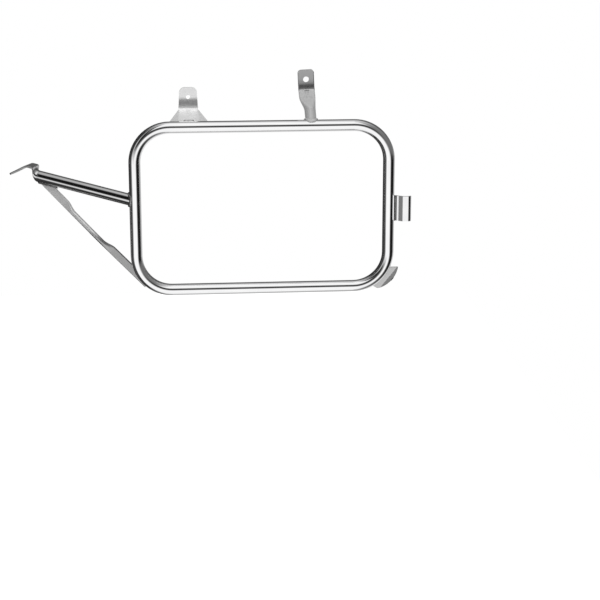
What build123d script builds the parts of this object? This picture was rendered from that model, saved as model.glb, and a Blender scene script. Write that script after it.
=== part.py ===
"""Left-hand pannier frame of a motorbike: a bent tube loop with the brackets that are welded to it.

Frame: the origin is the middle of the rear strut's bolt hole. +X points to the rear of the bike, -Y to
the outside, where the pannier hangs, and +Z up. All lengths are in millimetres, all angles in degrees.
"""
import os
from math import asin, atan2, cos, degrees, hypot, pi, radians, sin, sqrt, tan

from build123d import *

# Loop: one round tube, bent to a rounded rectangle; width and height are between tube middles
tube_od = 18.0
tube_wall = 1.5
loop_width = 388.0
loop_height = 252.0
loop_bend_radius = 54.0

# Bolt plane of the two upper tabs, measured back from the middle of the loop's tube
bolt_plane_depth = 40.0

# Rear strut: a tube, crushed a little to one side over a long stretch and folded to an upright tab, first
# by a crease and then by a wide bow, with a groove pressed below the crease
strut_od = 17.0
strut_wall = 1.5
strut_from_middle = 70.0
strut_hole_height = 65.0
strut_hole_to_bow = 9.9
strut_hole_to_end = 15.0
strut_crush_length = 28.0
strut_crush_to_fold = 10.5
strut_crush_drift = 2.0
strut_crush_delay = 1.0
strut_fold_radius = 3.0
strut_bow_radius = 30.0
strut_bow_angle = 19.0
strut_groove_radius = 6.0
strut_groove_depth = 1.4
strut_groove_length = 13.0
strut_groove_to_fold = 1.0
strut_lean = 2.5
large_hole_diameter = 9.0
tab_corner_radius = 5.5

# Front bracket: folded sheet that stands on the top tube on two feet; foot width is at the tube's middle, and
# foot sink is how far the feet reach into the tube before they are cut to its round
sheet_thickness = 3.0
bracket_from_front = 83.5
bracket_foot_width = 77.0
bracket_fold_width = 30.0
bracket_tab_width = 26.0
bracket_fold_height = 21.3
bracket_tab_height = 33.7
bracket_hole_to_end = 15.0
bracket_corner_radius = 8.0
bracket_fold_radius = 3.0
bracket_bow_radius = 45.0
bracket_bow_angle = 20.0
bracket_wing_angle = 14.0
bracket_wing_radius = 10.0
bracket_notch_width = 24.0
bracket_notch_top_width = 16.0
bracket_notch_depth = 7.0
bracket_notch_radius = 4.0
bracket_foot_sink = 2.0
small_hole_diameter = 6.6

# Front arm: the loop's tube again, swung inwards from the loop's front side and rising; its crushed end is
# lifted
arm_above_middle = 14.0
arm_swing = 22.0
arm_rise = 10.5
arm_round_length = 160.5
arm_crush_length = 11.0
arm_crush_lift = 6.0
arm_crush_delay = 2.4
arm_crush_to_fold = 9.5
arm_tab_length = 32.0
arm_tab_fold = 36.9
arm_fold_radius = 4.0
arm_hole_to_end = 14.0
arm_horn_trim = 4.0

# Diagonal brace: a round bar with both ends forged flat, from behind the loop's corner to the arm's
# underside, where its middle meets the tube a little before the crush
brace_diameter = 8.0
brace_flat_width = 12.2
brace_flat_thickness = 3.6
brace_lower_flat = 68.0
brace_lower_tail = 8.0
brace_upper_flat = 46.0
brace_taper = 20.0
brace_knee_lead = 10.0
brace_to_crush = 9.7
brace_bend_radius = 40.0
brace_corner_angle = 223.6
brace_overhang = 3.6

# Rear clip: a folded strap on the loop's rear side
clip_height = 39.0
clip_below_middle = 4.0
clip_seat_angle = 40.0
clip_fold_reach = 23.0
clip_fold_forward = 6.0
clip_face_length = 9.0
clip_lip_length = 4.0
clip_lip_angle = 65.0
clip_fold_radius = 3.0

# Corner gusset: a crescent plate behind the loop's lower rear corner
gusset_start_reach = 14.0
gusset_middle_reach = 16.0
gusset_end_reach = 10.0
gusset_start_angle = -21.0
gusset_end_angle = -57.0
gusset_inner_end_angle = -68.0
gusset_lip_width = 7.0
gusset_lip_depth = 1.8

# Welds: height of a bead above each of the two faces that it joins, and how far a flat piece is let into
# a tube
bead = 2.0
seat_bite = 0.4

# A pressed outline has two half-round sides, a front and a back; on a round bar the front and the back
# span this half angle
shoulder_angle = 25.0
# Largest slope of the dent that the press leaves in a tube's front wall
press_dent_angle = 20.0
# Stations along a pressed stretch, as shares of its length; a hollow ends at the last but one. A crush delay
# above 1 leaves more of the stretch round before the walls come together
press_stations = (0.0, 0.25, 0.5, 0.75, 1.0)

tube_radius = tube_od / 2
loop_middle = Vector(-strut_from_middle, -bolt_plane_depth, -strut_hole_height - loop_height / 2)
loop_top = loop_middle + Vector(0, 0, loop_height / 2)
loop_front = loop_middle - Vector(loop_width / 2, 0, 0)
loop_rear = loop_middle + Vector(loop_width / 2, 0, 0)
corner_inset = Vector(loop_width / 2 - loop_bend_radius, 0, 0)
corner_drop = Vector(0, 0, loop_height / 2 - loop_bend_radius)
front_corner = loop_middle - corner_inset - corner_drop
rear_corner = loop_middle + corner_inset - corner_drop


def outline_plane(point):
    """Plane of the loop, seen from outside and moved to a point: x to the rear, y up."""
    return Plane(origin=point, x_dir=(1, 0, 0), z_dir=(0, -1, 0))


def moved(plane, x, y, z):
    """The plane, moved along its own axes."""
    shift = plane.x_dir * x + plane.y_dir * y + plane.z_dir * z
    return Plane(origin=plane.origin + shift, x_dir=plane.x_dir, z_dir=plane.z_dir)


def polar(radius, angle):
    """Point at a radius and an angle."""
    return (radius * cos(radians(angle)), radius * sin(radians(angle)))


def eased(share):
    """A smooth step from 0 to 1."""
    return share * share * (3 - 2 * share)


def loop_bar(diameter):
    """Solid round bar along the loop."""
    x, y = loop_width / 2, loop_height / 2
    with BuildPart() as bar:
        with BuildLine(outline_plane(loop_middle)) as route:
            FilletPolyline((x, y), (x, -y), (-x, -y), (-x, y), radius=loop_bend_radius, close=True)
        with BuildSketch(Plane(origin=route.line @ 0, z_dir=route.line % 0)):
            Circle(diameter / 2)
        sweep(path=route.line)
    return bar.part


def round_bar(plane, diameter, start, length):
    """Solid round bar along a plane's normal."""
    with BuildPart() as bar:
        with BuildSketch(plane.offset(start)):
            Circle(diameter / 2)
        extrude(amount=length)
    return bar.part


def pressed_outline(plane, half_flat, radius, front_slope, back_slope):
    """Outline with four edges; a front or back is crowned at a negative slope, dented at a positive one."""
    front_x, front_y = half_flat - radius * sin(radians(front_slope)), radius * cos(radians(front_slope))
    back_x, back_y = half_flat - radius * sin(radians(back_slope)), radius * cos(radians(back_slope))
    with BuildSketch(plane) as outline:
        with BuildLine():
            ThreePointArc((back_x, -back_y), (half_flat + radius, 0), (front_x, front_y))
            ThreePointArc((-front_x, front_y), (-half_flat - radius, 0), (-back_x, -back_y))
            if front_slope == 0:
                Line((front_x, front_y), (-front_x, front_y))
            else:
                front_middle = front_y - front_x * tan(radians(front_slope) / 2)
                ThreePointArc((front_x, front_y), (0, front_middle), (-front_x, front_y))
            if back_slope == 0:
                Line((-back_x, -back_y), (back_x, -back_y))
            else:
                back_middle = back_y - back_x * tan(radians(back_slope) / 2)
                ThreePointArc((-back_x, -back_y), (0, -back_middle), (back_x, -back_y))
        make_face()
    return outline.sketch


def crushed_outline(plane, od, flat, share, drift, lift, delay):
    """Outline of a tube that is pressed towards its back wall, with the girth of the round tube."""
    pressed = eased(share**delay)
    thickness = od - (od - flat) * pressed
    seat = moved(plane, drift * pressed, (thickness - od) / 2 - lift * pressed, 0)
    crown = -shoulder_angle * (1 - pressed)
    dent = press_dent_angle * 4 * pressed * (1 - pressed)
    return pressed_outline(seat, pi * (od - thickness) / 4, thickness / 2, crown + dent, crown)


def crushed_blank(
    root, od, wall, start, round_length, crush_length, drift, lift, delay,
    route_points, fold_radii, hole_to_end,
):
    """Bar along the root plane's normal, its end crushed to two walls and folded forwards, with a hole."""
    flat = 2 * wall
    crush = root.offset(round_length)
    flat_end = moved(crush, drift, (flat - od) / 2 - lift, crush_length)
    side = Plane(origin=flat_end.origin, x_dir=root.z_dir, z_dir=-root.x_dir)
    width = flat + pi * (od - flat) / 2
    with BuildPart() as blank:
        with BuildSketch(root.offset(start)):
            Circle(od / 2)
        extrude(amount=round_length - start)
        stations = [(s, crush.offset(s * crush_length)) for s in press_stations]
        loft([crushed_outline(station, od, flat, s, drift, lift, delay) for s, station in stations])
        with BuildLine(side) as route:
            FilletPolyline(*route_points, radius=[fold_radius + wall for fold_radius in fold_radii])
        sweep(crushed_outline(crush.offset(crush_length), od, flat, 1.0, drift, lift, delay), path=route.line)
        tab_face = Plane(origin=route.line @ 1, x_dir=root.x_dir, z_dir=root.x_dir.cross(route.line % 1))
        with BuildSketch(tab_face):
            Rectangle(width + flat, 2 * tab_corner_radius)
            rounded = (width, 4 * tab_corner_radius, tab_corner_radius)
            RectangleRounded(*rounded, align=(Align.CENTER, Align.MAX), mode=Mode.SUBTRACT)
        extrude(amount=flat, both=True, mode=Mode.SUBTRACT)
        with BuildSketch(moved(tab_face, 0, -hole_to_end, 0)):
            Circle(large_hole_diameter / 2)
        extrude(amount=flat, both=True, mode=Mode.SUBTRACT)
    return blank.part


def folded_route(lead, *turns):
    """Corner points of a strip that runs straight, then on by lengths at angles to its front."""
    points = [(0, 0), (lead, 0)]
    for length, angle in turns:
        across, up = points[-1]
        points.append((across + length * cos(radians(angle)), up + length * sin(radians(angle))))
    return points


def crushed_hollow(root, od, wall, start, round_length, crush_length, drift, lift, delay):
    """The hollow inside a crushed tube, which closes as the walls come together."""
    bore = od - 2 * wall
    crush = root.offset(round_length)
    with BuildPart() as hollow:
        with BuildSketch(root.offset(start)):
            Circle(bore / 2)
        extrude(amount=round_length - start)
        stations = [(s, crush.offset(s * crush_length)) for s in press_stations[:-1]]
        loft([crushed_outline(station, bore, 0.0, s, drift, lift, delay) for s, station in stations])
    return hollow.part


os.makedirs("parts", exist_ok=True)
loop_envelope = loop_bar(tube_od)

# Loop tube
with BuildPart() as loop_tube:
    add(loop_envelope)
    add(loop_bar(tube_od - 2 * tube_wall), mode=Mode.SUBTRACT)
loop_tube.part.label = "loop_tube"
export_step(loop_tube.part, "parts/loop_tube.step")

# Rear strut, from the top tube up and back to the bolt plane
strut_up = Vector(-sin(radians(strut_lean)), 0, cos(radians(strut_lean)))
strut_across = Vector(cos(radians(strut_lean)), 0, sin(radians(strut_lean)))
strut_rise = strut_hole_height / cos(radians(strut_lean))
strut_foot = strut_up * -strut_rise + strut_across * strut_crush_drift - Vector(0, bolt_plane_depth, 0)
strut_flat_offset = strut_od / 2 - strut_wall
strut_bow_lead = (strut_bow_radius + strut_wall) * tan(radians(strut_bow_angle) / 2) + strut_wall / 2
strut_fold_depth = bolt_plane_depth - strut_bow_lead * sin(radians(strut_bow_angle))
strut_fold_rise = strut_rise - strut_hole_to_bow - strut_bow_lead * cos(radians(strut_bow_angle))
strut_reach = hypot(strut_fold_depth, strut_fold_rise)
strut_tilt = degrees(atan2(strut_fold_depth, strut_fold_rise) - asin(strut_flat_offset / strut_reach))
strut_axis = strut_up * cos(radians(strut_tilt)) + Vector(0, sin(radians(strut_tilt)), 0)
strut_root = Plane(origin=strut_foot, x_dir=-strut_across, z_dir=strut_axis)
strut_fold_at = sqrt(strut_reach**2 - strut_flat_offset**2)
strut_round_length = strut_fold_at - strut_crush_length - strut_crush_to_fold
strut_route = folded_route(
    strut_crush_to_fold, (strut_bow_lead, strut_tilt - strut_bow_angle),
    (strut_hole_to_bow + strut_hole_to_end, strut_tilt),
)
groove_end = moved(
    strut_root, strut_crush_drift, 2 * strut_wall - strut_od / 2, strut_fold_at - strut_groove_to_fold,
)
groove_tip = groove_end.offset(-strut_groove_length)
with BuildPart() as rear_strut:
    add(crushed_blank(
        strut_root, strut_od, strut_wall, 0.0, strut_round_length, strut_crush_length, strut_crush_drift, 0.0,
        strut_crush_delay, strut_route, (strut_fold_radius, strut_bow_radius), strut_hole_to_end,
    ))
    add(
        crushed_hollow(
            strut_root, strut_od, strut_wall, 0.0, strut_round_length, strut_crush_length,
            strut_crush_drift, 0.0, strut_crush_delay,
        ),
        mode=Mode.SUBTRACT,
    )
    with BuildSketch(moved(groove_end, 0, strut_groove_radius - strut_groove_depth, 0)):
        Circle(strut_groove_radius)
    with BuildSketch(moved(groove_tip, 0, strut_groove_depth, 0)):
        Circle(strut_groove_depth)
    loft(mode=Mode.SUBTRACT)
    add(loop_envelope, mode=Mode.SUBTRACT)
rear_strut.part.label = "rear_strut"
export_step(rear_strut.part, "parts/rear_strut.step")

# Front arm, from the loop's front side to its folded tab
arm_root_point = loop_front + Vector(0, 0, arm_above_middle)
arm_across = Vector(sin(radians(arm_swing)), cos(radians(arm_swing)), 0)
arm_level = Vector(-cos(radians(arm_swing)), sin(radians(arm_swing)), 0)
arm_axis = arm_level * cos(radians(arm_rise)) + Vector(0, 0, sin(radians(arm_rise)))
arm_root = Plane(origin=arm_root_point, x_dir=arm_across, z_dir=arm_axis)
arm_route = folded_route(arm_crush_to_fold, (arm_tab_length, arm_tab_fold))
arm_envelope = crushed_blank(
    arm_root, tube_od, tube_wall, arm_horn_trim, arm_round_length, arm_crush_length, 0.0, arm_crush_lift,
    arm_crush_delay, arm_route, (arm_fold_radius,), arm_hole_to_end,
)
with BuildPart() as front_arm:
    add(arm_envelope)
    add(
        crushed_hollow(
            arm_root, tube_od, tube_wall, arm_horn_trim, arm_round_length, arm_crush_length,
            0.0, arm_crush_lift, arm_crush_delay,
        ),
        mode=Mode.SUBTRACT,
    )
    add(loop_envelope, mode=Mode.SUBTRACT)
front_arm.part.label = "front_arm"
export_step(front_arm.part, "parts/front_arm.step")

# Front bracket, from the top tube back and up to the bolt plane, then upright
bracket_foot = Vector(loop_front.X + bracket_from_front, loop_top.Y, loop_top.Z)
bracket_bow_middle_radius = bracket_bow_radius + sheet_thickness / 2
bracket_bow_lead = bracket_bow_middle_radius * tan(radians(bracket_bow_angle) / 2) + sheet_thickness
bracket_fold_depth = bolt_plane_depth - bracket_bow_lead * sin(radians(bracket_bow_angle))
bracket_tilt = degrees(atan2(bracket_fold_height, bracket_fold_depth))
bracket_length = hypot(bracket_fold_height, bracket_fold_depth)
bracket_along = Vector(0, cos(radians(bracket_tilt)), sin(radians(bracket_tilt)))
bracket_normal = Vector(0, -sin(radians(bracket_tilt)), cos(radians(bracket_tilt)))
bracket_end = Plane(origin=bracket_foot, x_dir=(-1, 0, 0), z_dir=bracket_along)
bracket_face = Plane(origin=bracket_foot, x_dir=(1, 0, 0), z_dir=bracket_normal)
bracket_side = Plane(origin=bracket_foot, x_dir=bracket_along, z_dir=(1, 0, 0))
bracket_crease = 90 - bracket_tilt - bracket_bow_angle
fold_setback = (bracket_fold_radius + sheet_thickness / 2) * tan(radians(bracket_crease) / 2)
roof_length = bracket_length - fold_setback
bracket_foot_start = tube_radius - bracket_foot_sink
bracket_hole_rise = bracket_fold_height + bracket_tab_height - bracket_hole_to_end


def bracket_roof(thickness, length):
    """Sloping plate with its wings folded down, cut to its tapered outline and notched between its feet."""
    crest, eave = bracket_fold_width / 2, bracket_foot_width / 2
    drop = (eave - crest) * tan(radians(bracket_wing_angle))
    foot = bracket_notch_width / 2
    top = bracket_notch_top_width / 2
    notch_top = tube_radius + bracket_notch_depth
    with BuildPart() as roof:
        with BuildSketch(bracket_end.offset(bracket_foot_start)):
            with BuildLine():
                FilletPolyline(
                    (-eave, -drop), (-crest, 0), (crest, 0), (eave, -drop), radius=bracket_wing_radius,
                )
            trace(line_width=thickness)
        extrude(amount=length - bracket_foot_start)
        with BuildSketch(bracket_face):
            Polygon((-eave, 0), (eave, 0), (crest, roof_length), (-crest, roof_length), align=None)
        extrude(amount=bracket_foot_width, both=True, mode=Mode.INTERSECT)
        with BuildSketch(bracket_face):
            with BuildLine():
                FilletPolyline(
                    (-foot, 0), (-top, notch_top), (top, notch_top), (foot, 0), radius=bracket_notch_radius,
                )
                Line((foot, 0), (-foot, 0))
            make_face()
        extrude(amount=bracket_foot_width, both=True, mode=Mode.SUBTRACT)
    return roof.part


with BuildPart() as bracket_tab:
    with BuildSketch(bracket_side):
        with BuildLine():
            bow_rise = bracket_bow_lead * cos(radians(bracket_bow_angle))
            tab_route = folded_route(
                fold_setback + sheet_thickness, (bracket_bow_lead, bracket_crease),
                (bracket_tab_height - bow_rise, 90 - bracket_tilt),
            )
            FilletPolyline(
                *[(roof_length - sheet_thickness + x, y) for x, y in tab_route],
                radius=[bracket_fold_radius + sheet_thickness / 2, bracket_bow_radius + sheet_thickness / 2],
            )
        trace(line_width=sheet_thickness)
    extrude(amount=bracket_fold_width / 2, both=True)
    with BuildSketch(outline_plane(bracket_foot)):
        low_half, high_half = bracket_fold_width / 2, bracket_tab_width / 2
        tab_end = bracket_fold_height + bracket_tab_height
        with BuildLine():
            Polyline(
                (-low_half, 0), (low_half, 0), (low_half, bracket_fold_height), (high_half, tab_end),
                (-high_half, tab_end), (-low_half, bracket_fold_height), close=True,
            )
        make_face()
    extrude(amount=2 * bolt_plane_depth, both=True, mode=Mode.INTERSECT)
    fillet(bracket_tab.edges().filter_by(Axis.Y).group_by(Axis.Z)[-1], bracket_corner_radius)

with BuildPart() as front_bracket:
    add(bracket_roof(sheet_thickness, roof_length))
    add(bracket_tab.part)
    bracket_hole_middle = bracket_foot + Vector(0, bolt_plane_depth, bracket_hole_rise)
    with BuildSketch(Plane(origin=bracket_hole_middle, z_dir=(0, -1, 0))):
        Circle(small_hole_diameter / 2)
    extrude(amount=sheet_thickness, both=True, mode=Mode.SUBTRACT)
    add(loop_envelope, mode=Mode.SUBTRACT)
front_bracket.part.label = "front_bracket"
export_step(front_bracket.part, "parts/front_bracket.step")

# Diagonal brace: its outer edge runs on from the loop's outer contour, behind the tube
brace_out = Vector(cos(radians(brace_corner_angle)), 0, sin(radians(brace_corner_angle)))
brace_low_axis = Vector(brace_out.Z, 0, -brace_out.X)
brace_reach = loop_bend_radius + tube_radius + brace_overhang - brace_diameter / 2
brace_tangent = front_corner + brace_out * brace_reach
brace_tangent += Vector(0, tube_radius - seat_bite + brace_flat_thickness / 2, 0)
brace_low_round = brace_tangent + brace_low_axis * (brace_lower_flat + brace_taper)
brace_knee = brace_low_round + brace_low_axis * brace_knee_lead
arm_point = arm_root_point + arm_axis * (arm_round_length - brace_to_crush)
arm_to_knee = brace_knee - arm_point
arm_under = (arm_to_knee - arm_axis * arm_axis.dot(arm_to_knee)).normalized()
brace_seat = arm_point + arm_under * tube_radius
brace_high_axis = (brace_seat - brace_knee).normalized()
brace_high_round = brace_seat - brace_high_axis * (brace_upper_flat + brace_taper)
forge_stations = (0.0, 0.3, 0.7, 1.0)


def brace_plane(point, axis):
    """Plane across the brace, with y to the outside of the frame."""
    front = (Vector(0, -1, 0) - axis * axis.dot(Vector(0, -1, 0))).normalized()
    return Plane(origin=point, x_dir=front.cross(axis), z_dir=axis)


def forged_outline(plane, share, extra=0.0):
    """Outline of the bar, from round to flat; the flat spreads to the inside of the triangle."""
    pressed = eased(share)
    half_flat = (brace_flat_width - brace_flat_thickness) / 2 * pressed
    radius = (brace_diameter + (brace_flat_thickness - brace_diameter) * pressed) / 2
    spread = brace_diameter / 2 - half_flat - radius
    crown = -shoulder_angle * (1 - pressed)
    return pressed_outline(moved(plane, spread, 0, 0), half_flat, radius + extra, crown, crown)


brace_low = brace_plane(brace_tangent, brace_low_axis)
brace_high = brace_plane(brace_high_round, brace_high_axis)
with BuildPart() as diagonal_brace:
    extrude(
        forged_outline(brace_low.offset(-brace_lower_tail), 1.0),
        amount=brace_lower_tail + brace_lower_flat,
    )
    loft([
        forged_outline(brace_low.offset(brace_lower_flat + s * brace_taper), 1 - s)
        for s in forge_stations
    ])
    with BuildLine() as route:
        FilletPolyline(brace_low_round, brace_knee, brace_high_round, radius=brace_bend_radius)
    with BuildSketch(Plane(origin=brace_low_round, z_dir=brace_low_axis)):
        Circle(brace_diameter / 2)
    sweep(path=route.line)
    loft([forged_outline(brace_high.offset(s * brace_taper), s) for s in forge_stations])
    extrude(forged_outline(brace_high.offset(brace_taper), 1.0), amount=brace_upper_flat + tube_od)
    add(round_bar(arm_root, 4 * tube_od, arm_round_length, 2 * tube_od), mode=Mode.SUBTRACT)
    add(arm_envelope, mode=Mode.SUBTRACT)
    add(loop_envelope, mode=Mode.SUBTRACT)
diagonal_brace.part.label = "diagonal_brace"
export_step(diagonal_brace.part, "parts/diagonal_brace.step")

# Rear clip, a strap that leaves the tube's rear quarter, comes forward and ends in a turned-back lip
clip_plane = Plane.XY.offset(loop_middle.Z - clip_below_middle - clip_height / 2)
seat_x, seat_y = polar(tube_radius, clip_seat_angle)
lip_x, lip_y = polar(clip_lip_length, clip_lip_angle)
clip_end = clip_fold_reach + clip_face_length
clip_points = [
    (loop_rear.X + seat_x, loop_rear.Y + seat_y),
    (loop_rear.X + clip_fold_reach, loop_rear.Y - clip_fold_forward),
    (loop_rear.X + clip_end, loop_rear.Y - clip_fold_forward),
    (loop_rear.X + clip_end + lip_x, loop_rear.Y - clip_fold_forward + lip_y),
]
with BuildPart() as rear_clip:
    with BuildSketch(clip_plane):
        with BuildLine():
            FilletPolyline(*clip_points, radius=clip_fold_radius + sheet_thickness / 2)
        trace(line_width=sheet_thickness)
    extrude(amount=clip_height)
    add(loop_envelope, mode=Mode.SUBTRACT)
rear_clip.part.label = "rear_clip"
export_step(rear_clip.part, "parts/rear_clip.step")

# Corner gusset, let into the back of the tube
gusset_plane = outline_plane(rear_corner + Vector(0, tube_radius - seat_bite, 0))
gusset_edge = loop_bend_radius + tube_radius
gusset_start_radius = gusset_edge + gusset_start_reach
gusset_middle_angle = (gusset_start_angle + gusset_end_angle) / 2
gusset_inner_start_angle = degrees(
    asin(gusset_start_radius * sin(radians(gusset_start_angle)) / loop_bend_radius)
)


def gusset_outline(plane):
    """Crescent with a level upper edge, from the middle of the tube to past its outer side."""
    outer_start = polar(gusset_start_radius, gusset_start_angle)
    outer_middle = polar(gusset_edge + gusset_middle_reach, gusset_middle_angle)
    outer_end = polar(gusset_edge + gusset_end_reach, gusset_end_angle)
    inner_start = polar(loop_bend_radius, gusset_inner_start_angle)
    inner_middle = polar(loop_bend_radius, (gusset_inner_start_angle + gusset_inner_end_angle) / 2)
    inner_end = polar(loop_bend_radius, gusset_inner_end_angle)
    with BuildSketch(plane) as outline:
        with BuildLine():
            ThreePointArc(outer_start, outer_middle, outer_end)
            Line(outer_end, inner_end)
            ThreePointArc(inner_end, inner_middle, inner_start)
            Line(inner_start, outer_start)
        make_face()
    return outline.sketch


gusset_out = Vector(cos(radians(gusset_middle_angle)), 0, sin(radians(gusset_middle_angle)))
gusset_side = Plane(origin=gusset_plane.origin, x_dir=gusset_out, z_dir=gusset_out.cross(gusset_plane.z_dir))
with BuildPart() as corner_gusset:
    extrude(gusset_outline(gusset_plane), amount=-sheet_thickness)
    with BuildSketch(gusset_side):
        lip_edge = gusset_edge + gusset_middle_reach
        lip_start = lip_edge - gusset_lip_width
        Polygon((lip_start, 0), (lip_edge, 0), (lip_edge, -gusset_lip_depth), align=None)
    extrude(amount=loop_bend_radius, both=True, mode=Mode.SUBTRACT)
    add(loop_envelope, mode=Mode.SUBTRACT)
corner_gusset.part.label = "corner_gusset"
export_step(corner_gusset.part, "parts/corner_gusset.step")

# Welds of the pieces that stand on the loop
loop_bead = loop_bar(tube_od + 2 * bead)
strut_cope = sqrt(tube_radius**2 - (strut_od / 2) ** 2)
with BuildPart() as rear_strut_weld:
    add(round_bar(strut_root, strut_od + 2 * bead, strut_cope - bead / 2, tube_od))
    add(loop_bead, mode=Mode.INTERSECT)
    add(loop_envelope, mode=Mode.SUBTRACT)
    add(round_bar(strut_root, strut_od, 0.0, 2 * tube_od), mode=Mode.SUBTRACT)
rear_strut_weld.part.label = "rear_strut_weld"
export_step(rear_strut_weld.part, "parts/rear_strut_weld.step")

with BuildPart() as front_arm_weld:
    add(round_bar(arm_root, tube_od + 2 * bead, arm_horn_trim, tube_od))
    add(loop_bead, mode=Mode.INTERSECT)
    add(loop_envelope, mode=Mode.SUBTRACT)
    add(arm_envelope, mode=Mode.SUBTRACT)
front_arm_weld.part.label = "front_arm_weld"
export_step(front_arm_weld.part, "parts/front_arm_weld.step")

with BuildPart() as front_bracket_weld:
    add(bracket_roof(sheet_thickness + 2 * bead, bracket_length / 2))
    add(loop_bead, mode=Mode.INTERSECT)
    add(loop_envelope, mode=Mode.SUBTRACT)
    add(front_bracket.part, mode=Mode.SUBTRACT)
front_bracket_weld.part.label = "front_bracket_weld"
export_step(front_bracket_weld.part, "parts/front_bracket_weld.step")

with BuildPart() as rear_clip_weld:
    with BuildSketch(clip_plane):
        with BuildLine():
            Line(clip_points[0], clip_points[1])
        trace(line_width=sheet_thickness + 2 * bead)
    extrude(amount=clip_height)
    add(loop_bead, mode=Mode.INTERSECT)
    add(loop_envelope, mode=Mode.SUBTRACT)
    add(rear_clip.part, mode=Mode.SUBTRACT)
rear_clip_weld.part.label = "rear_clip_weld"
export_step(rear_clip_weld.part, "parts/rear_clip_weld.step")

with BuildPart() as corner_gusset_weld:
    extrude(gusset_outline(gusset_plane), amount=bead)
    add(loop_bead, mode=Mode.INTERSECT)
    add(loop_envelope, mode=Mode.SUBTRACT)
corner_gusset_weld.part.label = "corner_gusset_weld"
export_step(corner_gusset_weld.part, "parts/corner_gusset_weld.step")

with BuildPart() as brace_lower_weld:
    extrude(
        forged_outline(brace_low.offset(-brace_lower_tail), 1.0, bead),
        amount=brace_lower_tail + brace_lower_flat,
    )
    add(loop_bead, mode=Mode.INTERSECT)
    add(loop_envelope, mode=Mode.SUBTRACT)
    add(diagonal_brace.part, mode=Mode.SUBTRACT)
brace_lower_weld.part.label = "brace_lower_weld"
export_step(brace_lower_weld.part, "parts/brace_lower_weld.step")

# Weld of the brace under the arm
with BuildPart() as brace_upper_weld:
    extrude(forged_outline(brace_high.offset(brace_taper), 1.0, bead), amount=brace_upper_flat + tube_radius)
    add(
        round_bar(arm_root, tube_od + 2 * bead, arm_round_length - 3 * tube_od, 3 * tube_od),
        mode=Mode.INTERSECT,
    )
    add(arm_envelope, mode=Mode.SUBTRACT)
    add(diagonal_brace.part, mode=Mode.SUBTRACT)
brace_upper_weld.part.label = "brace_upper_weld"
export_step(brace_upper_weld.part, "parts/brace_upper_weld.step")
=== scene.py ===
from math import cos, radians, sin

import bmesh
import bpy
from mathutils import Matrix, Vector


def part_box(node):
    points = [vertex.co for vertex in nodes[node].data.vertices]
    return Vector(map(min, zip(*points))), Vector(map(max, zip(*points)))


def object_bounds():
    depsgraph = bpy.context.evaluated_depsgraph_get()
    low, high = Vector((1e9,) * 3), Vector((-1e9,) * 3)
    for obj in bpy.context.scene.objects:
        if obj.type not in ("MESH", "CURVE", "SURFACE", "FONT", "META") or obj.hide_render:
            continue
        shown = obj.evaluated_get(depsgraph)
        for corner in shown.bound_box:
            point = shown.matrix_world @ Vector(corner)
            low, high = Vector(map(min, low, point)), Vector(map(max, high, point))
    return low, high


# The frame is one welded assembly in one body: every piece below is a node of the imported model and
# rides on "root" already. Lengths are in metres, +X is the rear of the bike and -Y its outer side.
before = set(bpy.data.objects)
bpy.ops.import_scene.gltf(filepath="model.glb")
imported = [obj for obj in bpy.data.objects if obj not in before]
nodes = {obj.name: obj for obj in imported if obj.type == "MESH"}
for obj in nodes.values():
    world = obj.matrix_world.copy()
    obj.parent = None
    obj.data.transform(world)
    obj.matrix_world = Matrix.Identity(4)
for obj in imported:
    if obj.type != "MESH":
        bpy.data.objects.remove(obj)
cad_low, cad_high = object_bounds()

# Loop tube: one round steel tube, bent to a rounded rectangle and butt-welded to a closed loop.
# It is ground, polished and bright chromed, so it mirrors the studio with only a faint waviness.
patch_dark_level = 0.35
patch_pale_level = 0.65
patch_detail = 4.0
grain_detail = 3.0


def plated_steel(name, dark_tone, pale_tone, smooth, dull, patch, grain, grain_height):
    """Plated steel whose tone and gloss drift in patches, over a fine relief of the metal under it."""
    material = bpy.data.materials.new(name)
    material.use_nodes = True
    tree = material.node_tree
    shader = tree.nodes["Principled BSDF"]
    shader.inputs["Metallic"].default_value = 1.0
    place = tree.nodes.new("ShaderNodeTexCoord").outputs["Object"]
    drift = tree.nodes.new("ShaderNodeTexNoise")
    drift.inputs["Scale"].default_value = 1 / patch
    drift.inputs["Detail"].default_value = patch_detail
    tone = tree.nodes.new("ShaderNodeValToRGB")
    tone.color_ramp.elements[0].position = patch_dark_level
    tone.color_ramp.elements[0].color = (*dark_tone, 1.0)
    tone.color_ramp.elements[1].position = patch_pale_level
    tone.color_ramp.elements[1].color = (*pale_tone, 1.0)
    gloss = tree.nodes.new("ShaderNodeMapRange")
    gloss.inputs["From Min"].default_value = patch_dark_level
    gloss.inputs["From Max"].default_value = patch_pale_level
    gloss.inputs["To Min"].default_value = smooth
    gloss.inputs["To Max"].default_value = dull
    relief = tree.nodes.new("ShaderNodeTexNoise")
    relief.inputs["Scale"].default_value = 1 / grain
    relief.inputs["Detail"].default_value = grain_detail
    bump = tree.nodes.new("ShaderNodeBump")
    bump.inputs["Strength"].default_value = 1.0
    bump.inputs["Distance"].default_value = grain_height
    tree.links.new(place, drift.inputs["Vector"])
    tree.links.new(place, relief.inputs["Vector"])
    tree.links.new(drift.outputs["Fac"], tone.inputs["Fac"])
    tree.links.new(drift.outputs["Fac"], gloss.inputs["Value"])
    tree.links.new(tone.outputs["Color"], shader.inputs["Base Color"])
    tree.links.new(gloss.outputs["Result"], shader.inputs["Roughness"])
    tree.links.new(relief.outputs["Fac"], bump.inputs["Height"])
    tree.links.new(bump.outputs["Normal"], shader.inputs["Normal"])
    return material


def finish_node(node, material):
    """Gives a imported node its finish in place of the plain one."""
    slots = nodes[node].data.materials
    slots.clear()
    slots.append(material)


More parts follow.
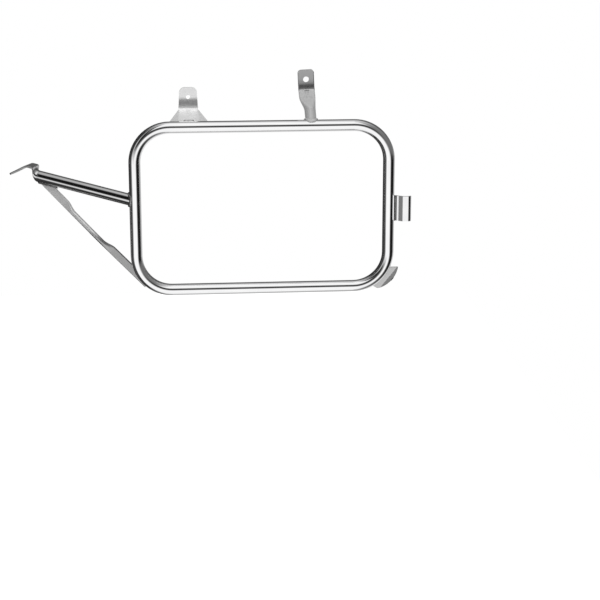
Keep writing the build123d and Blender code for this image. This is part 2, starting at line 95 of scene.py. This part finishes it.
loop_chrome = plated_steel(
    "loop_chrome", dark_tone=(0.93, 0.93, 0.94), pale_tone=(0.97, 0.97, 0.97), smooth=0.03, dull=0.05,
    patch=0.05, grain=0.020, grain_height=0.000004,
)
finish_node("loop_tube", loop_chrome)

# Rear strut: a tube whose upper end is crushed flat and folded to a bolt tab, welded upright on the top
# tube. It is plated without polishing, so it is satin, apart from the fold, which the press burnished
# smoother; the darker tone across the fold is painted shade.

# Sockets of a Mix node that hold colours
mix_first_socket = 6
mix_second_socket = 7
mix_result_socket = 2


def levels_along(tree, value, stops):
    """Levels that change with a value: each stop is (value, three levels), in rising order."""
    first_value = stops[0][0]
    last_value = stops[-1][0]
    share = tree.nodes.new("ShaderNodeMapRange")
    share.inputs["From Min"].default_value = first_value
    share.inputs["From Max"].default_value = last_value
    levels = tree.nodes.new("ShaderNodeValToRGB")
    ramp = levels.color_ramp
    for stop in stops[1:-1]:
        ramp.elements.new((stop[0] - first_value) / (last_value - first_value))
    for element, stop in zip(ramp.elements, stops):
        element.color = (*stop[1:], 1.0)
    tree.links.new(value, share.inputs["Value"])
    tree.links.new(share.outputs["Result"], levels.inputs["Fac"])
    return levels.outputs["Color"]


def finish_and_shade_along(axis, material, zones):
    """Changes a finish along an axis, with painted shade in its tone where a piece has it: each zone is
    (place, tone, roughness, share of bare metal).
    """
    tree = material.node_tree
    shader = tree.nodes["Principled BSDF"]
    place = tree.nodes.new("ShaderNodeSeparateXYZ")
    tree.links.new(tree.nodes.new("ShaderNodeTexCoord").outputs["Object"], place.inputs["Vector"])
    finish = tree.nodes.new("ShaderNodeSeparateColor")
    tree.links.new(levels_along(tree, place.outputs[axis], zones), finish.inputs["Color"])
    tone = tree.nodes.new("ShaderNodeMix")
    tone.data_type = "RGBA"
    tone.blend_type = "MULTIPLY"
    tone.inputs["Factor"].default_value = 1.0
    tree.links.new(shader.inputs["Base Color"].links[0].from_socket, tone.inputs[mix_first_socket])
    tree.links.new(finish.outputs["Red"], tone.inputs[mix_second_socket])
    tree.links.new(tone.outputs[mix_result_socket], shader.inputs["Base Color"])
    gloss = tree.nodes.new("ShaderNodeMath")
    gloss.operation = "MULTIPLY"
    tree.links.new(shader.inputs["Roughness"].links[0].from_socket, gloss.inputs[0])
    tree.links.new(finish.outputs["Green"], gloss.inputs[1])
    tree.links.new(gloss.outputs["Value"], shader.inputs["Roughness"])
    metal_shares = {zone[-1] for zone in zones}
    if len(metal_shares) > 1:
        tree.links.new(finish.outputs["Blue"], shader.inputs["Metallic"])
    else:
        shader.inputs["Metallic"].default_value = metal_shares.pop()


# Tones and roughness that multiply those of a piece's zones
satin_steel = dict(dark_tone=(0.95, 0.95, 0.95), pale_tone=(1.0, 1.0, 1.0), smooth=0.94, dull=1.06)
strut_chrome = plated_steel("strut_chrome", **satin_steel, patch=0.020, grain=0.006, grain_height=0.000003)
# The dip in tone across the fold, down to 0.42, is painted shade; the lower roughness there is the burnish.
strut_finish_and_painted_shade = [
    (-0.0650, 0.60, 0.62, 0.60),
    (-0.0172, 0.60, 0.58, 0.60),
    (-0.0158, 0.58, 0.26, 1.00),
    (-0.0090, 0.48, 0.28, 1.00),
    (-0.0040, 0.42, 0.32, 1.00),
    (0.0010, 0.58, 0.40, 1.00),
    (0.0150, 0.66, 0.44, 1.00),
]
finish_and_shade_along("Z", strut_chrome, strut_finish_and_painted_shade)
finish_node("rear_strut", strut_chrome)

# Front arm: a length of the loop's tube that swings inwards, with its end crushed and folded to a tab.
# It is coped and welded to the loop's front side. The tube is polished before it is chromed, and the tab
# beyond the fold is not, so it is rougher; the tab's darker tone is painted shade.
arm_chrome = plated_steel("arm_chrome", **satin_steel, patch=0.040, grain=0.016, grain_height=0.000004)
# The tab's low tone, 0.40 against 0.76 on the tube, is painted shade; its higher roughness is the unpolished
# tab.
arm_finish_and_painted_shade = [
    (-0.4600, 0.40, 0.40, 0.90),
    (-0.4300, 0.42, 0.36, 0.90),
    (-0.4160, 0.76, 0.055, 1.00),
    (-0.2600, 0.76, 0.055, 1.00),
]
finish_and_shade_along("X", arm_chrome, arm_finish_and_painted_shade)
finish_node("front_arm", arm_chrome)

# Front bracket: one piece of folded steel sheet on two feet, with a notch between them and a bolt tab.
# It is stamped, folded, welded to the top tube and plated, with the sheet's own faint grain left in it.
bracket_chrome = plated_steel(
    "bracket_chrome", **satin_steel, patch=0.016, grain=0.006, grain_height=0.000003,
)
# The tone is darker low down, at the feet on the top tube: painted shade.
bracket_finish_and_painted_shade = [
    (-0.0700, 0.76, 0.36, 0.60),
    (-0.0475, 0.78, 0.34, 0.60),
    (-0.0440, 0.97, 0.20, 0.80),
    (-0.0100, 0.97, 0.20, 0.80),
]
finish_and_shade_along("Z", bracket_chrome, bracket_finish_and_painted_shade)
finish_node("front_bracket", bracket_chrome)

# Diagonal brace: a round steel bar with both ends forged flat, welded behind the loop's lower corner
# and under the arm. It is plated over the forge's skin, so it is a satin grey.
brace_plating = plated_steel("brace_plating", **satin_steel, patch=0.030, grain=0.006, grain_height=0.000003)
# The lower forged end, behind the loop's corner, has a darker tone as painted shade.
brace_finish_and_painted_shade = [
    (-0.3000, 0.46, 0.36, 1.00),
    (-0.2400, 0.48, 0.36, 1.00),
    (-0.2250, 0.80, 0.38, 0.80),
    (-0.2000, 0.80, 0.40, 0.75),
    (-0.1850, 0.68, 0.56, 0.66),
    (-0.1500, 0.68, 0.56, 0.66),
]
finish_and_shade_along("Z", brace_plating, brace_finish_and_painted_shade)
finish_node("diagonal_brace", brace_plating)

# Rear clip: a strap of steel sheet, folded twice and welded by one edge to the loop's rear side.
# Its flat faces are polished and chromed.
clip_chrome = plated_steel(
    "clip_chrome", dark_tone=(0.86, 0.86, 0.87), pale_tone=(0.92, 0.92, 0.92), smooth=0.06, dull=0.10,
    patch=0.020, grain=0.008, grain_height=0.000003,
)
finish_node("rear_clip", clip_chrome)

# Corner gusset: a crescent of steel sheet with a bevelled outer edge, let into the back of the loop's
# lower rear corner. It sits behind the tube and is plated without polishing.
gusset_plating = plated_steel(
    "gusset_plating", dark_tone=(0.56, 0.56, 0.56), pale_tone=(0.64, 0.64, 0.64), smooth=0.24, dull=0.30,
    patch=0.020, grain=0.006, grain_height=0.000003,
)
finish_node("corner_gusset", gusset_plating)

# Welds: seven runs of filler that join the pieces, laid before plating and dressed to a soft round.
# The plating over them keeps a little of the weld pool's ripple. It is a dull chrome, and satin on the
# strut and the bracket.
weld_voxel = 0.0004
weld_smoothing = 0.5
weld_rounds = 10
weld_swell = 0.00025
weld_chrome = plated_steel(
    "weld_chrome", dark_tone=(0.24, 0.24, 0.24), pale_tone=(0.34, 0.34, 0.34), smooth=0.10, dull=0.16,
    patch=0.006, grain=0.004, grain_height=0.000006,
)
weld_satin = plated_steel("weld_satin", **satin_steel, patch=0.006, grain=0.004, grain_height=0.000006)
finish_and_shade_along("Z", weld_satin, strut_finish_and_painted_shade[:2])
weld_finishes = {
    "rear_strut_weld": weld_satin,
    "front_bracket_weld": weld_satin,
    "front_arm_weld": weld_chrome,
    "rear_clip_weld": weld_chrome,
    "corner_gusset_weld": weld_chrome,
    "brace_lower_weld": weld_chrome,
    "brace_upper_weld": weld_chrome,
}
for weld, weld_finish in weld_finishes.items():
    finish_node(weld, weld_finish)
    even = nodes[weld].modifiers.new("even", "REMESH")
    even.mode = "VOXEL"
    even.voxel_size = weld_voxel
    even.use_smooth_shade = True
    dressed = nodes[weld].modifiers.new("dressed", "SMOOTH")
    dressed.factor = weld_smoothing
    dressed.iterations = weld_rounds
    seated = nodes[weld].modifiers.new("seated", "DISPLACE")
    seated.mid_level = 0.0
    seated.strength = weld_swell

# Studio floor: a roll of white paper, well below the frame, which hangs clear of it.
# It carries the frame's shadow; the metal sees the room around it instead.
floor_drop = 0.62
paper_half_width = 0.75
paper_half_depth = 2.4
paper_tone = (0.92, 0.92, 0.92, 1.0)
paper_roughness = 0.9
paper_glow = 0.40
white = (1.0, 1.0, 1.0, 1.0)
loop_low, loop_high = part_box("loop_tube")
loop_middle = (loop_low + loop_high) / 2
paper_mesh = bmesh.new()
bmesh.ops.create_grid(paper_mesh, x_segments=1, y_segments=1, size=1.0)
bmesh.ops.scale(paper_mesh, verts=paper_mesh.verts, vec=(paper_half_width, paper_half_depth, 1.0))
paper_centre = Vector((loop_middle.x, loop_middle.y, cad_low.z - floor_drop))
bmesh.ops.translate(paper_mesh, verts=paper_mesh.verts, vec=paper_centre)
paper_data = bpy.data.meshes.new("paper_floor")
paper_mesh.to_mesh(paper_data)
paper_mesh.free()
paper_floor = bpy.data.objects.new("paper_floor", paper_data)
bpy.context.scene.collection.objects.link(paper_floor)
paper = bpy.data.materials.new("paper")
paper.use_nodes = True
paper_shader = paper.node_tree.nodes["Principled BSDF"]
paper_shader.inputs["Base Color"].default_value = paper_tone
paper_shader.inputs["Roughness"].default_value = paper_roughness
paper_shader.inputs["Specular IOR Level"].default_value = 0.0
paper_shader.inputs["Emission Color"].default_value = white
paper_shader.inputs["Emission Strength"].default_value = paper_glow
paper_data.materials.append(paper)
paper_floor.visible_glossy = False

# Studio room: white paper, a large soft top light in front, a dark gap under that light where the camera
# stands, which reaches higher at the left, and dark curtains on both sides. The metal mirrors it, and the
# camera sees white. Each side is a list of (elevation in degrees, brightness).
room_sides = {
    "front": [
        (-90, 0.60), (-76, 0.92), (-62, 0.95), (-11, 1.00), (-3, 0.40), (5, 0.04), (22, 0.04),
        (30, 0.25), (37, 0.95), (70, 1.00), (90, 0.88),
    ],
    "right": [
        (-90, 0.50), (-75, 0.22), (-60, 0.14), (-45, 0.06), (-28, 0.012), (-8, 0.010), (0, 0.15),
        (25, 0.17), (45, 0.22), (60, 0.42), (75, 0.62), (90, 0.88),
    ],
    "left_gap": [
        (-90, 0.60), (-76, 0.92), (-62, 0.95), (-9, 1.00), (0, 0.60), (8, 0.06), (16, 0.008),
        (52, 0.008), (64, 0.24), (76, 0.55), (90, 0.88),
    ],
    "near_left": [
        (-90, 0.50), (-75, 0.30), (-60, 0.02), (-38, 0.02), (-28, 0.08), (-20, 0.22), (-12, 0.34),
        (3, 0.52), (20, 0.58), (35, 0.34), (52, 0.30), (68, 0.58), (90, 0.88),
    ],
    "left": [
        (-90, 0.50), (-75, 0.30), (-60, 0.03), (-35, 0.06), (-10, 0.04), (20, 0.03), (45, 0.03),
        (60, 0.26), (75, 0.55), (90, 0.88),
    ],
    "back": [
        (-90, 0.50), (-70, 0.44), (-45, 0.88), (-20, 0.70), (-8, 0.44), (4, 0.20), (18, 0.11),
        (38, 0.08), (50, 0.13), (62, 0.30), (75, 0.60), (90, 0.88),
    ],
}
# Where one side passes into the next, as turns from the front in degrees, positive to the right
room_turns = {
    "right": (15, 42),
    "left_gap": (-27, -34),
    "near_left": (-46, -54),
    "left": (-56, -74),
    "back_right": (92, 120),
    "back_left": (-160, -186),
}
room_tone = (0.88, 0.88, 0.88, 1.0)
room = bpy.data.worlds.new("studio_room")
room.use_nodes = True
room_tree = room.node_tree
room_tree.nodes.clear()


def room_math(operation, *inputs):
    """A Math node of the room, fed with outputs or numbers."""
    node = room_tree.nodes.new("ShaderNodeMath")
    node.operation = operation
    for socket, value in zip(node.inputs, inputs):
        if isinstance(value, (int, float)):
            socket.default_value = value
        else:
            room_tree.links.new(value, socket)
    return node.outputs["Value"]


def room_step(value, start, end):
    """A soft step from 0 to 1 between two values."""
    node = room_tree.nodes.new("ShaderNodeMapRange")
    node.interpolation_type = "SMOOTHSTEP"
    node.inputs["From Min"].default_value = start
    node.inputs["From Max"].default_value = end
    room_tree.links.new(value, node.inputs["Value"])
    return node.outputs["Result"]


def room_side(rise, levels):
    """Brightness of one side of the room by elevation."""
    stops = [(degrees_up, level, level, level) for degrees_up, level in levels]
    return levels_along(room_tree, rise, stops)


def room_mix(share, first, second):
    """The first colour where the share is 0, and the second where it is 1."""
    node = room_tree.nodes.new("ShaderNodeMix")
    node.data_type = "RGBA"
    room_tree.links.new(share, node.inputs["Factor"])
    room_tree.links.new(first, node.inputs[mix_first_socket])
    room_tree.links.new(second, node.inputs[mix_second_socket])
    return node.outputs[mix_result_socket]


def room_choice(share, first, second):
    """The first light where the share is 0, and the second where it is 1."""
    node = room_tree.nodes.new("ShaderNodeMixShader")
    for output, socket in zip((share, first, second), node.inputs):
        room_tree.links.new(output, socket)
    return node.outputs["Shader"]


heading = room_tree.nodes.new("ShaderNodeSeparateXYZ")
room_tree.links.new(room_tree.nodes.new("ShaderNodeTexCoord").outputs["Generated"], heading.inputs["Vector"])
outwards = room_math("MULTIPLY", heading.outputs["Y"], -1.0)
turn = room_math("DEGREES", room_math("ARCTAN2", heading.outputs["X"], outwards))
rise = room_math("DEGREES", room_math("ARCSINE", heading.outputs["Z"]))
side_colours = {side: room_side(rise, levels) for side, levels in room_sides.items()}
mirrored = side_colours["front"]
for side in ("right", "left_gap", "near_left", "left"):
    mirrored = room_mix(room_step(turn, *room_turns[side]), mirrored, side_colours[side])
behind_right = room_step(turn, *room_turns["back_right"])
behind_left = room_step(turn, *room_turns["back_left"])
behind = room_math("MAXIMUM", behind_right, behind_left)
mirrored = room_mix(behind, mirrored, side_colours["back"])
ray = room_tree.nodes.new("ShaderNodeLightPath")
seen_in_metal = room_math("MAXIMUM", ray.outputs["Is Glossy Ray"], ray.outputs["Is Transmission Ray"])
metal_light = room_tree.nodes.new("ShaderNodeBackground")
room_tree.links.new(mirrored, metal_light.inputs["Color"])
white_backdrop = room_tree.nodes.new("ShaderNodeBackground")
white_backdrop.inputs["Color"].default_value = white
room_light = room_tree.nodes.new("ShaderNodeBackground")
room_light.inputs["Color"].default_value = room_tone
room_or_metal = room_choice(
    seen_in_metal, room_light.outputs["Background"], metal_light.outputs["Background"],
)
room_or_camera = room_choice(
    ray.outputs["Is Camera Ray"], room_or_metal, white_backdrop.outputs["Background"],
)
room_output = room_tree.nodes.new("ShaderNodeOutputWorld")
room_tree.links.new(room_or_camera, room_output.inputs["Surface"])
bpy.context.scene.world = room

# Top light: a soft panel above the frame that lays a faint shadow on the paper.
# Its own shape stays out of the metal, because the room already holds the top light that shows there.
panel_size = 1.6
panel_height = 1.5
panel_power = 14.0
panel = bpy.data.lights.new("top_light", "AREA")
panel.shape = "SQUARE"
panel.size = panel_size
panel.energy = panel_power
top_light = bpy.data.objects.new("top_light", panel)
top_light.location = loop_middle + Vector((0.0, 0.0, panel_height))
top_light.visible_glossy = False
top_light.visible_camera = False
bpy.context.scene.collection.objects.link(top_light)

# Camera: stands a little to the front of the bike's outer side, above the frame, and aims below and
# behind the loop's middle, so that the frame lies in the upper left of the picture. Its turn and rise
# are in degrees, and its lens is in millimetres.
camera_turn = -3.594
camera_rise = 11.708
camera_distance = 2.6
camera_lens = 101.66
aim_rearward = 0.0574
aim_down = 0.1472
back_from_loop = Vector((
    sin(radians(camera_turn)) * cos(radians(camera_rise)),
    -cos(radians(camera_turn)) * cos(radians(camera_rise)),
    sin(radians(camera_rise)),
))
camera_data = bpy.data.cameras.new("camera")
camera_data.lens = camera_lens
camera = bpy.data.objects.new("camera", camera_data)
camera.location = loop_middle + back_from_loop * camera_distance
camera_aim = loop_middle + Vector((aim_rearward, 0.0, -aim_down))
camera.rotation_euler = (camera_aim - camera.location).to_track_quat("-Z", "Y").to_euler()
bpy.context.scene.collection.objects.link(camera)
bpy.context.scene.camera = camera
bpy.context.scene.view_settings.view_transform = "Standard"
